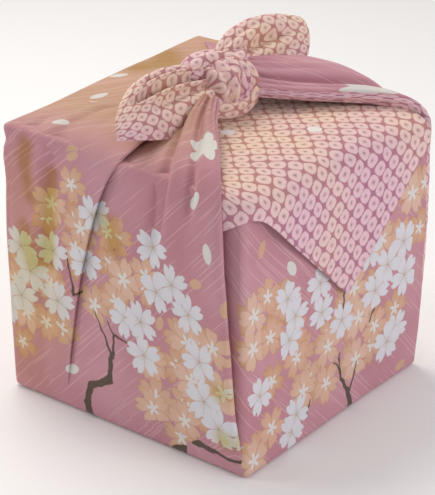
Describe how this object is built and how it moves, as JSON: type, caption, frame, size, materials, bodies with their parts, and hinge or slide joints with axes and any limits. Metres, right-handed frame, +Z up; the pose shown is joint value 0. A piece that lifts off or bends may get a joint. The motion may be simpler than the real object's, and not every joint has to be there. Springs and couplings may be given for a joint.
{
  "type": "furoshiki wrap",
  "caption": "Square printed cotton cloth wrapped round a box shape, tied on top with a reef knot, with two free ends and one corner hanging as a triangle.",
  "frame": {"origin": "middle of the bounding box on the surface that the wrap stands on", "axes": "+Z up; +X to the right along the front wall, towards the wall with the hanging triangle; +Y towards the back; the knot's two free ends lie along Y"},
  "size_m": [0.2032, 0.2144, 0.2462],
  "materials": {
    "furoshiki_cloth": "printed slub cotton, matt"
  },
  "bodies": {
    "root": {"furoshiki_cloth": "furoshiki_cloth"}
  },
  "joints": []
}
